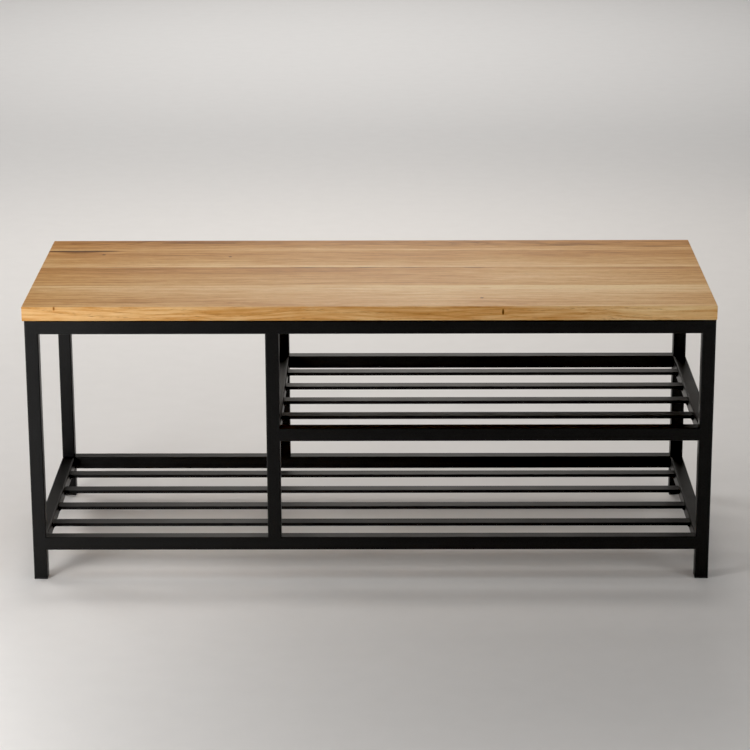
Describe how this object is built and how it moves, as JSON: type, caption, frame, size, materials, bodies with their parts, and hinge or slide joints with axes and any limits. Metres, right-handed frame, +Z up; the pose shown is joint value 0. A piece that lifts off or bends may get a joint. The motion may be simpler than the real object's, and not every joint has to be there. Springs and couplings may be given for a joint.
{
  "type": "entryway bench",
  "caption": "Long low bench with a solid wood seat on a black square-tube frame, with a slatted lower shelf and a slatted upper shelf over part of it for shoes.",
  "frame": {"origin": "on the floor, under the centre of the seat's outline", "axes": "+Z up, +X along the bench to the right as seen from the front, -Y towards the front"},
  "size_m": [1.004, 0.404, 0.4183],
  "materials": {
    "oiled_oak": "oiled, satin",
    "black_powder_coat": "fine satin powder coat",
    "black_nylon": "moulded, matt",
    "zinc_plate": "bright zinc plated"
  },
  "bodies": {
    "root": {"seat_stave_1": "oiled_oak", "seat_stave_2": "oiled_oak", "seat_stave_3": "oiled_oak", "seat_stave_4": "oiled_oak", "leg_front_left": "black_powder_coat", "leg_front_right": "black_powder_coat", "leg_rear_left": "black_powder_coat", "leg_rear_right": "black_powder_coat", "post_front": "black_powder_coat", "post_rear": "black_powder_coat", "top_rail_front": "black_powder_coat", "top_rail_rear": "black_powder_coat", "top_rail_left": "black_powder_coat", "top_rail_right": "black_powder_coat", "lower_rail_front": "black_powder_coat", "lower_rail_rear": "black_powder_coat", "lower_rail_left": "black_powder_coat", "lower_rail_right": "black_powder_coat", "upper_rail_front": "black_powder_coat", "upper_rail_rear": "black_powder_coat", "upper_rail_left": "black_powder_coat", "upper_rail_right": "black_powder_coat", "lower_slat_1": "black_powder_coat", "lower_slat_2": "black_powder_coat", "lower_slat_3": "black_powder_coat", "lower_slat_4": "black_powder_coat", "upper_slat_1": "black_powder_coat", "upper_slat_2": "black_powder_coat", "upper_slat_3": "black_powder_coat", "upper_slat_4": "black_powder_coat", "foot_cap_front_left": "black_nylon", "foot_cap_front_right": "black_nylon", "foot_cap_rear_left": "black_nylon", "foot_cap_rear_right": "black_nylon", "seat_tab_front_left": "black_powder_coat", "seat_tab_front_middle": "black_powder_coat", "seat_tab_front_right": "black_powder_coat", "seat_tab_rear_left": "black_powder_coat", "seat_tab_rear_middle": "black_powder_coat", "seat_tab_rear_right": "black_powder_coat", "seat_screw_front_left": "zinc_plate", "seat_screw_front_middle": "zinc_plate", "seat_screw_front_right": "zinc_plate", "seat_screw_rear_left": "zinc_plate", "seat_screw_rear_middle": "zinc_plate", "seat_screw_rear_right": "zinc_plate"}
  },
  "joints": []
}
